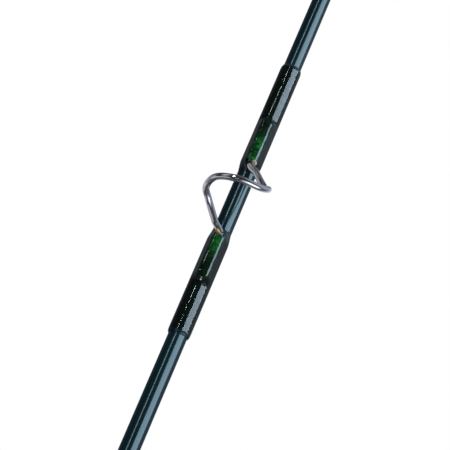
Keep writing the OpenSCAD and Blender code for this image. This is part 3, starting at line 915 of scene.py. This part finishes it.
def mark_painted_foot_light(piece, wraps):
    """Stores how much painted light from the metal foot beneath falls on each point of the thread, by how much it
    lies over the foot.
    """
    mesh = piece.data
    co = np.zeros(len(mesh.vertices) * 3)
    mesh.vertices.foreach_get("co", co)
    x, y, z = co.reshape(-1, 3).T / MM
    mask = np.zeros(len(x))
    for wrap in wraps:
        if wrap.foot is None:
            continue
        along = wrap.up * (z - wrap.z)
        half = min(wrap.foot.r, 0.9)
        side = 1 - smooth_step(np.abs(x), 0.9 * half, 1.35 * half)
        # The painted foot light fades out towards the foot's end, sooner on the lower wrap
        fade, gone = (0.34, 0.7) if wrap.up > 0 else (0.22, 0.58)
        fading = 0.93 * smooth_step(along, fade * wrap.foot.length, gone * wrap.foot.length)
        over = side * (y < 0) * smooth_step(along, -1.0, 0.1) * (1 - fading)
        over *= 1 - smooth_step(along, wrap.foot.length - 0.8, wrap.foot.length + 0.2)
        mask = np.maximum(mask, over)
    mesh.attributes.new("painted_foot_light", "FLOAT", "POINT").data.foreach_set("value", mask.astype(np.float32))


def varnish_rings(wrap, around=72):
    """Rings of one varnish coat: the sloping inner end, the even middle, the rounded outer end."""
    build, shoulder = size("varnish_build"), size("shoulder")
    ramp = shoulder if wrap.open_ends else size("ramp")
    t = np.arange(around) / around
    turn = uneven_turn(t, COAT_GATHER if wrap.foot else 0.0)
    stations = []
    for k in range(13):
        u = k / 12
        if wrap.open_ends:
            a = u * math.pi / 2
            stations.append((-COAT_OVERRUN + ramp * (1 - math.cos(a)), build * math.sin(a)))
        else:
            stations.append((-ramp * 0.75 + ramp * u, build * float(smooth_step(u, -0.08, 1))))
    start = stations[-1][0]
    end = wrap.length + COAT_OVERRUN - shoulder
    marks = [start + (end - start) * k / 40 for k in range(1, 40)]
    if wrap.foot is not None:
        marks += [wrap.foot.length - 1.0 + 1.3 * k / 12 for k in range(13)]
    stations += [(m, build) for m in sorted(marks)]
    for a in (k / 10 * math.pi / 2 for k in range(11)):
        stations.append((end + shoulder * math.sin(a), build * math.cos(a)))
    rings = []
    for along, grow in stations:
        z = wrap.z + wrap.up * along
        r = outline(turn, z, wrap, along, max(grow, 0.004), COAT_BROAD * min(1, grow / build))
        rings.append(round_points(turn, r, z))
    for along in (stations[-1][0], stations[0][0]):
        z = wrap.z + wrap.up * along
        rings.append(round_points(turn, np.full(around, wrap.radius(z) - COAT_DEPTH), z))
    return rings


def make_coats(body, wraps, *nodes):
    parts = [oriented(skin(varnish_rings(w), closed=True)) for w in wraps]
    piece = make_piece(f"{body}_varnish", *join_parts(parts), clear_varnish())
    piece.visible_shadow = False
    settle(piece, body, "finish", *nodes)


def oriented(part):
    """The same (points, faces) with its faces turned outwards."""
    points, faces = part
    co = np.array(points)
    volume = 0.0
    for face in faces:
        for k in range(1, len(face) - 1):
            volume += np.dot(co[face[0]], np.cross(co[face[k]], co[face[k + 1]]))
    return (points, faces) if volume > 0 else (points, [face[::-1] for face in faces])


def bead_part(centre, axis, length, radius, around=20, rows=12):
    """A drop of varnish or solder, longer along axis, as (points, faces)."""
    axis = np.array(axis, float) / np.linalg.norm(axis)
    side = np.cross(axis, (0, 1, 0.01))
    side /= np.linalg.norm(side)
    other = np.cross(axis, side)
    turn = np.arange(around) * 2 * np.pi / around
    rings = []
    for k in range(1, rows):
        a = math.pi * k / rows
        r = radius * math.sin(a) ** 0.8
        middle = np.array(centre) + axis * (-length * math.cos(a))
        rings.append(middle + np.outer(np.cos(turn) * r, side) + np.outer(np.sin(turn) * r, other))
    return oriented(skin(rings))


def all_wraps():
    """Every varnished wrap by body."""
    by_body = {}
    wraps = [w for i in range(1, GUIDE_COUNT + 1) for w in guide_wraps(i)]
    wraps += strip_wraps()[1] + keeper_wraps()[1] + [ferrule_wrap(n) for n in FERRULES] + [tip_wrap()]
    for wrap in wraps:
        by_body.setdefault(wrap.body, []).append(wrap)
    return by_body


def make_exit_beads(i):
    """The drops of varnish where a guide's wire leaves its two wraps."""
    z, scale, foot_y, _ = guide_place(i)
    line = guide_line(i)
    for label, material, at, tangent, long, thick in (
        # The upper drop is clear varnish, painted pale with the light refracted through it
        ("upper", cream_bead(), (0.56, -0.53, 6.2), line[7] - line[2], 0.5, 0.4),
        # The lower drop: amber varnish, brightened with painted light through it
        ("lower", amber_bead(), (-0.4, -0.42, -5.98), line[-8] - line[-3], 0.55, 0.34),
    ):
        centre = np.array([0, -foot_y, z]) + scale * np.array(at)
        part = bead_part(centre, tangent, scale * long, scale * thick)
        settle(make_piece(f"guide_bead_{label}_{i}", *part, material), guide_body(i), "finish")


# ---- Stripping guide, tip-top, keeper ----


def make_stripping_guide():
    """A hoop on two flat feet, three legs that brace it, and a ceramic ring in it."""
    outer, half_deep = 5.9, 0.9
    z = strip_z()
    base = strip_wraps()[0]
    low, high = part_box("stripping_ring")
    ring_y = (low.y + high.y) / 2 / MM
    rise = -ring_y - base
    body = "lower_mid_section"
    square = [(5.03, -half_deep), (outer, -half_deep), (outer, half_deep), (5.03, half_deep)]
    frame_profile = rounded_profile(square, 0.4, 5)
    hoop = oriented(skin(lathe_rings([(r, z + h) for r, h in frame_profile], 72, (0, ring_y)), closed=True))
    feet = []
    for up in (-1, 1):
        rings = []
        for s, wide, thick in ((0, 0.8, 1.0), (0.4, 1.0, 1.0), (4.5, 0.98, 0.95), (7.0, 0.8, 0.65), (8.0, 0.5, 0.3)):
            half, t = STRIP_FEET[0][0] / 2 * wide, STRIP_FEET[0][1] * thick
            section = ((-1, 0), (1, 0), (0.92, 0.75), (0.6, 1), (-0.6, 1), (-0.92, 0.75))
            rings.append(np.array([(half * x, -base - t * h, z + up * (STRIP_START + s)) for x, h in section]))
        feet.append(oriented(skin(rings)))
    piece = make_piece("stripping_hoop", *join_parts([hoop] + feet), bright_chrome())
    settle(piece, body, "wire", "stripping_frame")
    toe_y, toe = base + 0.57, STRIP_START + 0.9
    foot_y = base + 0.3
    lines = []
    for side in (-1, 1):
        lines.append(smooth_line([
            (0, -toe_y, z - toe), (side * 0.22 * outer, -foot_y - 0.05 * rise, z - 0.78 * STRIP_START),
            (side * 0.75 * outer, -foot_y - 0.45 * rise, z - 0.3 * STRIP_START),
            (side * 0.9 * outer, ring_y + 0.3 * outer, z)], (0, 0, 4), (0, -1, 2), 12))
    lines.append(smooth_line([
        (0, -toe_y, z + toe), (0, -foot_y - 0.09 * rise, z + 0.75 * STRIP_START),
        (0, -foot_y - 0.35 * rise, z + 0.25 * STRIP_START), (0, ring_y + 0.93 * outer, z)],
        (0, 0, -4), (0, -3, -1), 12))
    legs = sweep("stripping_legs", [(line, 1.0) for line in lines], 0.55, 18, bright_chrome())
    settle(legs, body, "wire")
    ring_profile = rounded_profile([(4.0, -1.0), (5.0, -1.0), (5.0, 1.0), (4.0, 1.0)], 0.45, 6)
    ring = lathe("stripping_ceramic", [(r, z + h) for r, h in ring_profile], black_ceramic(), 72, (0, ring_y))
    settle(ring, body, "ceramic", "stripping_ring")


def make_tip_top():
    end = ROD_LENGTH
    tube_r = blank_radius(end - TIP_TUBE) + GLUE
    outer = tube_r + 0.25
    side = outer + 0.4 + GLUE
    half = [(side, 0, -0.5), (side + 0.35, -0.8, 1.5), (side + 0.9, -2.3, 3.3), (side + 0.1, -3.9, 5.2), (0, -4.6, 6)]
    loop = half + [(-x, y, z) for x, y, z in half[-2::-1]]
    placed = [(x, y, end + z) for x, y, z in loop]
    line = smooth_line(placed, (0, 0, 1.5), (0, 0, -1.5), 12)
    leg = np.array([0, 0, TIP_TUBE - 3])
    path = np.concatenate([[line[0] - leg], line, [line[-1] - leg]])
    settle(sweep("tip_ring_wire", [(path, 1.0)], 0.4, 18, bright_chrome()), "tip_section", "wire", "tip_loop")
    low = end - TIP_TUBE
    profile = [(tube_r, low), (outer - 0.06, low), (outer, low + 0.1), (outer, end + 0.45),
               (outer - 0.2, end + 0.75), (0.001, end + 0.8), (0.001, end + 0.2), (tube_r, end + 0.2)]
    tube = lathe("tip_sleeve", profile, bright_chrome(), 48)
    settle(tube, "tip_section", "wire", "tip_tube")
    parts = []
    for s in (-1, 1):
        for height in (-4.6, -3.4, -2.2, -1.2):
            parts.append(bead_part((s * (outer + 0.12), 0, end + height), (0, 0, 1), 0.9, 0.36, 14, 8))
    settle(make_piece("tip_solder", *join_parts(parts), soft_solder()), "tip_section", "wire")


def make_keeper():
    """The keeper's swinging ring: an arc of this radius whose middle hangs under its pin."""
    z, radius, drop = KEEPER_Z, 3.8, 2.8
    y = -(blank_radius(z) + 2)
    reach = math.sqrt(radius ** 2 - drop ** 2)
    low = math.asin(drop / radius)
    angles = np.linspace(low, -math.pi - low, 49)
    arc = np.array([(radius * math.cos(a), y, z - drop + radius * math.sin(a)) for a in angles])
    pin = np.array([(-reach - 0.2, y, z), (reach + 0.2, y, z)])
    ring = sweep("keeper_hoop", [(arc, 1.0), (pin, 1.0)], 0.5, 18, bright_chrome())
    settle(ring, "keeper_ring", "wire", "keeper_ring")


# ---- Reel seat ----


def make_barrel():
    """The threaded barrel: one helical thread, and a keyway along the reel's side."""
    around = 120
    low, high, pitch, depth, radius, bore = 6.0, 52.0, 2, 0.6, 11, 9.0
    keyway_half, keyway_floor, keyway_start = 1.5, 9.9, 8
    turn = np.arange(around) * 2 * np.pi / around
    rings = []
    for z in np.concatenate([np.arange(low, high, 0.16), [high]]):
        phase = ((z - 9) / pitch - turn / (2 * np.pi)) % 1
        fade = float(smooth_step(z, 8.4, 9.6) * (1 - smooth_step(z, 47.4, 48.6)))
        r = radius - fade * depth * np.clip((np.abs(phase - 0.5) - 0.15) / 0.2, 0, 1)
        keyway = (np.abs(r * np.sin(turn)) < keyway_half) & (np.cos(turn) < 0) & (z > keyway_start)
        r = np.where(keyway, keyway_floor, r)
        if z in (low, high):
            r = np.minimum(r, radius - 0.2)
        rings.append(round_points(turn, r, z))
    for z in (high, low):
        rings.append(round_points(turn, np.full(around, bore), z))
    piece = make_piece("reel_seat_barrel", *skin(rings, closed=True), black_anodised(), crease=30)
    settle(piece, "butt_section", "seat_metal", "threaded_barrel")


def make_nut(name):
    """A nut with rounded flutes round its rim. It is a body of its own."""
    low, high = node_span(name)
    flutes = bpy.context.scene.rod_sizes.knurls
    around = flutes * 12
    turn = np.arange(around) * 2 * np.pi / around
    offset = np.abs(((turn * flutes / (2 * np.pi)) + 0.5) % 1 - 0.5) * 2 * np.pi / flutes
    profile = rounded_profile([(11.08, low), (13.2, low), (13.2, high), (11.08, high)], 0.5, 5)
    rings = []
    for r, z in profile:
        across = 13.4 * np.sin(offset)
        cut = np.sqrt(np.clip(0.8 ** 2 - across ** 2, 0, None))
        limit = np.where(across < 0.8, 13.55 - cut, 99)
        soft = -0.12 * np.log(np.exp(-np.clip(limit, 0, 16) / 0.12) + np.exp(-r / 0.12))
        rings.append(round_points(turn, soft if r > 12 else np.full(around, r), z))
    settle(make_piece(f"knurled_{name}", *skin(rings, closed=True), black_anodised()), name, "seat_metal", name)


# ---- Grip ----


def make_check():
    z = GRIP_END
    r0 = blank_radius(z) + GLUE
    r1 = blank_radius(z + 4) + GLUE
    profile = [(r0, z), (7.35, z), (7.5, z + 0.15), (7.5, z + 0.9), (7.3, z + 1.1), (6.6, z + 1.25), (6.45, z + 1.4),
               (6.3, z + 1.3), (5.6, z + 2.1), (4.5, z + 3.3), (blank_radius(z) + 0.8, z + 3.95), (r1, z + 4)]
    piece = lathe("winding_check_ring", profile, polished_check(), 80)
    settle(piece, "butt_section", "check", "winding_check")


# ---- Stage ----

TARGET = Vector((0, 0, 1.702))
VIEW_AZIMUTH, VIEW_ELEVATION, VIEW_ROLL = 4.82, -21.83, 23.14
VIEW_DISTANCE, VIEW_FOCAL = 0.2305, 124.3
AIM_LEFT, AIM_DOWN = 0.00139, 0.00319


def direction(azimuth, elevation):
    """The unit vector from the rod towards this azimuth, 0 on the guides' side, and elevation."""
    a, e = math.radians(azimuth), math.radians(elevation)
    return Vector((math.sin(a) * math.cos(e), -math.cos(a) * math.cos(e), math.sin(e)))


def make_camera():
    """The camera, rolled, and shifted a little off its target."""
    back = direction(VIEW_AZIMUTH, VIEW_ELEVATION)
    across = (-back).cross(Vector((0, 0, 1))).normalized()
    above = across.cross(-back).normalized()
    roll = math.radians(VIEW_ROLL)
    right = math.cos(roll) * across + math.sin(roll) * above
    up = -math.sin(roll) * across + math.cos(roll) * above
    place = TARGET + back * VIEW_DISTANCE
    aim = TARGET - right * AIM_LEFT - up * AIM_DOWN
    back = (place - aim).normalized()
    right = up.cross(back).normalized()
    up = back.cross(right).normalized()
    data = bpy.data.cameras.new("studio_camera")
    data.lens = VIEW_FOCAL
    data.sensor_width = 36.0
    data.clip_start = 0.01
    camera = add_object("studio_camera", data)
    camera.matrix_world = Matrix((
        (right.x, up.x, back.x, place.x), (right.y, up.y, back.y, place.y),
        (right.z, up.z, back.z, place.z), (0, 0, 0, 1)))
    bpy.context.scene.camera = camera


def make_panel(name, azimuth, elevation, distance, width, height, radiance, tint=(1, 1, 1), aim=TARGET,
               diffuse=True, glossy=True):
    """A soft rectangular light that faces the rod and isn't seen itself."""
    data = bpy.data.lights.new(name, "AREA")
    data.shape = "RECTANGLE"
    data.size, data.size_y = width, height
    data.energy = radiance * math.pi * width * height
    data.color = tint
    light = add_object(name, data)
    towards = direction(azimuth, elevation)
    light.location = aim + towards * distance
    light.rotation_euler = towards.to_track_quat("Z", "Y").to_matrix().to_euler()
    light.visible_camera = False
    light.visible_diffuse = diffuse
    light.visible_glossy = glossy
    light.visible_transmission = False
    return light


# Cards that only the chromed wires mirror: name, azimuth, elevation, distance, width, height, radiance
WIRE_LIGHTS = [
    ("streak", 54, -30, 0.8, 0.46, 0.3, 1.4),
    ("rim", 178, 0, 1.5, 3.2, 2.6, 0.36),
    ("side_card", -92, -12, 1.0, 1.0, 1.3, 0.24),
    ("back_card", -124, -25, 1.0, 0.55, 1.9, 0.34),
    ("low_card", -58, -42, 1.0, 0.6, 0.5, 0.45),
    ("top_streak", -50, 22, 1.0, 0.2, 0.8, 0.6),
    ("front_card", -8, -24, 1.0, 0.3, 0.4, 0.26),
]


def limit_light(light, state, pieces):
    """Lets a light reach all but these pieces (EXCLUDE) or only them (INCLUDE)."""
    group = bpy.data.collections.new(f"{light.name}_{state.lower()}")
    for piece in pieces:
        group.objects.link(piece)
    for entry in group.collection_objects:
        entry.light_linking.link_state = state
    light.light_linking.receiver_collection = group


# What reflections see: the room's tone, then soft lobes over it as (azimuth, elevation), the cosine where
# each starts and is full, and its tone. They are a dark side, a pale side, the backdrop and the key light.
ROOM_TONE = (0.1, 0.108, 0.13, 1)
ROOM_LOBES = [
    ((-35, -5), 0.2, 0.58, (0.036, 0.036, 0.05, 1)),
    ((95, 44), 0.64, 0.88, (0.3, 0.36, 0.43, 1)),
    ((178, 5), 0.8, 0.985, (0.36, 0.42, 0.5, 1)),
    ((54, -35), 0.82, 0.95, (0.8, 0.82, 0.88, 1)),
]


def make_world():
    """White to the camera, pale to matt surfaces, and a soft studio room in reflections."""
    world = bpy.data.worlds.new("studio_room")
    world.use_nodes = True
    bpy.context.scene.world = world
    tree = world.node_tree
    background = tree.nodes["Background"]
    path = tree.nodes.new("ShaderNodeLightPath")
    towards = tree.nodes.new("ShaderNodeTexCoord").outputs["Generated"]

    def lobe(vector, start, full):
        dot = add_node(tree, "ShaderNodeVectorMath", {"operation": "DOT_PRODUCT"}, n0=towards, n1=vector)
        return add_node(tree, "ShaderNodeMapRange", {"interpolation_type": "SMOOTHSTEP"}, Value=dot.outputs["Value"],
                        From_Min=start, From_Max=full).outputs[0]

    room = ROOM_TONE
    for place, start, full, tint in ROOM_LOBES:
        room = mix_colours(tree, lobe(direction(*place), start, full), room, tint)
    room = mix_colours(tree, path.outputs["Is Diffuse Ray"], room, (0.8, 0.81, 0.83, 1))
    height = add_node(tree, "ShaderNodeSeparateXYZ", Vector=towards).outputs["Z"]
    rise = add_node(tree, "ShaderNodeMapRange", {"interpolation_type": "SMOOTHSTEP"}, Value=height, From_Min=-0.01,
                    From_Max=0.17)
    seen = mix_colours(tree, rise.outputs[0], (0.56, 0.565, 0.57, 1), (1, 1, 1, 1))
    tree.links.new(mix_colours(tree, path.outputs["Is Camera Ray"], room, seen), background.inputs["Color"])
    background.inputs["Strength"].default_value = 1.0


def make_floor():
    half = 30.0
    mesh = bpy.data.meshes.new("floor")
    mesh.from_pydata([(-half, -half, 0), (half, -half, 0), (half, half, 0), (-half, half, 0)], [], [(0, 1, 2, 3)])
    mesh.materials.append(studio_floor())
    floor = add_object("floor", mesh)
    floor.visible_glossy = False


# ---- Operators ----


class ROD_OT_blanks(bpy.types.Operator):
    """Make the four tapered blank sections"""

    bl_idname = "rod.make_blanks"
    bl_label = "Blank sections"

    def execute(self, context):
        for part in PARTS:
            make_blank(part)
        make_ferrule_dots()
        return {"FINISHED"}


class ROD_OT_snake_guides(bpy.types.Operator):
    """Bend the eight snake guides from chromed wire"""

    bl_idname = "rod.make_snake_guides"
    bl_label = "Snake guides"

    def execute(self, context):
        for i in range(1, GUIDE_COUNT + 1):
            make_snake_guide(i)
        return {"FINISHED"}


class ROD_OT_windings(bpy.types.Operator):
    """Wind thread over every foot and ferrule"""

    bl_idname = "rod.make_windings"
    bl_label = "Thread windings"

    def execute(self, context):
        for i in range(1, GUIDE_COUNT + 1):
            make_winding(f"guide_winding_{i}", guide_wraps(i), f"guide_wraps_{i}")
        make_winding("stripping_winding", strip_wraps()[1], "stripping_wraps")
        make_winding("keeper_winding", keeper_wraps()[1], "keeper_wraps")
        for name in FERRULES:
            make_winding(f"{name}_ferrule_winding", [ferrule_wrap(name)], f"{name}_ferrule_wrap")
        make_winding("tip_winding", [tip_wrap()], "tip_wrap")
        return {"FINISHED"}


class ROD_OT_varnish(bpy.types.Operator):
    """Coat every wrap with clear varnish"""

    bl_idname = "rod.make_varnish"
    bl_label = "Varnish"

    def execute(self, context):
        for body, wraps in all_wraps().items():
            make_coats(body, wraps, body.replace("_section", "_finish"))
        for i in range(1, GUIDE_COUNT + 1):
            make_exit_beads(i)
        return {"FINISHED"}


class ROD_OT_stripping_guide(bpy.types.Operator):
    """Make the stripping guide with its ceramic ring"""

    bl_idname = "rod.make_stripping_guide"
    bl_label = "Stripping guide"

    def execute(self, context):
        make_stripping_guide()
        return {"FINISHED"}


class ROD_OT_tip_top(bpy.types.Operator):
    """Make the tip-top's sleeve, wire ring and solder"""

    bl_idname = "rod.make_tip_top"
    bl_label = "Tip-top"

    def execute(self, context):
        make_tip_top()
        return {"FINISHED"}


class ROD_OT_reel_seat(bpy.types.Operator):
    """Make the reel seat's thread, nuts, hoods and wood"""

    bl_idname = "rod.make_reel_seat"
    bl_label = "Reel seat"

    def execute(self, context):
        make_barrel()
        make_nut("lock_nut")
        make_nut("jam_nut")
        refinish(black_anodised(), "butt_cap", "fixed_hood", "sliding_hood")
        refinish(burl_wood(), "seat_spacer")
        return {"FINISHED"}


class ROD_OT_grip(bpy.types.Operator):
    """Finish the cork grip and its winding check"""

    bl_idname = "rod.make_grip"
    bl_label = "Cork grip"

    def execute(self, context):
        make_check()
        refinish(sanded_cork(), "seat_arbors", *[f"cork_ring_{i:02d}" for i in range(1, CORKS + 1)])
        return {"FINISHED"}


class ROD_OT_keeper(bpy.types.Operator):
    """Make the hook keeper and its swinging ring"""

    bl_idname = "rod.make_keeper"
    bl_label = "Hook keeper"

    def execute(self, context):
        make_keeper()
        refinish(bright_chrome(), "keeper_base")
        return {"FINISHED"}


class ROD_OT_stage(bpy.types.Operator):
    """Set up the floor, the lights and the camera"""

    bl_idname = "rod.make_stage"
    bl_label = "Studio"

    def execute(self, context):
        make_camera()
        make_world()
        make_floor()
        az = VIEW_AZIMUTH
        window = make_panel("window", az + 48, 22, 1.1, 1.3, 0.6, 5.4, (0.76, 0.99, 1.18))
        wires = [bpy.data.objects[f"snake_guide_wire_{i}"] for i in range(1, GUIDE_COUNT + 1)]
        limit_light(window, "EXCLUDE", wires)
        make_panel("edge_strip", az - 32, 21, 1.0, 0.066, 0.5, 11.5, (0.9, 1, 0.97))
        for name, *place in WIRE_LIGHTS:
            limit_light(make_panel(name, *place, (1, 0.99, 1.03), diffuse=False), "INCLUDE", wires)
        make_panel("front_fill", -30, 10, 2.2, 1.6, 2.4, 0.8, aim=Vector((0, 0, 1.1)), glossy=False)
        context.scene.view_settings.view_transform = "Standard"
        return {"FINISHED"}


OPERATORS = [ROD_OT_blanks, ROD_OT_snake_guides, ROD_OT_windings, ROD_OT_varnish, ROD_OT_stripping_guide,
             ROD_OT_tip_top, ROD_OT_reel_seat, ROD_OT_grip, ROD_OT_keeper, ROD_OT_stage]


class ROD_PT_panel(bpy.types.Panel):
    """Fishing rod builder"""

    bl_idname = "ROD_PT_panel"
    bl_label = "Fishing Rod"
    bl_space_type = "VIEW_3D"
    bl_region_type = "UI"
    bl_category = "Fishing Rod"

    def draw(self, context):
        layout = self.layout
        for title, group in (("Sizes", context.scene.rod_sizes), ("Colours", context.scene.rod_colours)):
            box = layout.box()
            box.label(text=title)
            for name in group.bl_rna.properties.keys():
                if name not in ("rna_type", "name"):
                    box.prop(group, name)
        for operator in OPERATORS:
            layout.operator(operator.bl_idname)


CLASSES = [RodSizes, RodColours, *OPERATORS, ROD_PT_panel]


def register():
    for cls in CLASSES:
        bpy.utils.register_class(cls)
    bpy.types.Scene.rod_sizes = PointerProperty(type=RodSizes)
    bpy.types.Scene.rod_colours = PointerProperty(type=RodColours)


def unregister():
    del bpy.types.Scene.rod_colours
    del bpy.types.Scene.rod_sizes
    for cls in reversed(CLASSES):
        bpy.utils.unregister_class(cls)


def main():
    register()
    for operator in OPERATORS:
        group, name = operator.bl_idname.split(".")
        getattr(getattr(bpy.ops, group), name)()


if __name__ == "__main__":
    main()
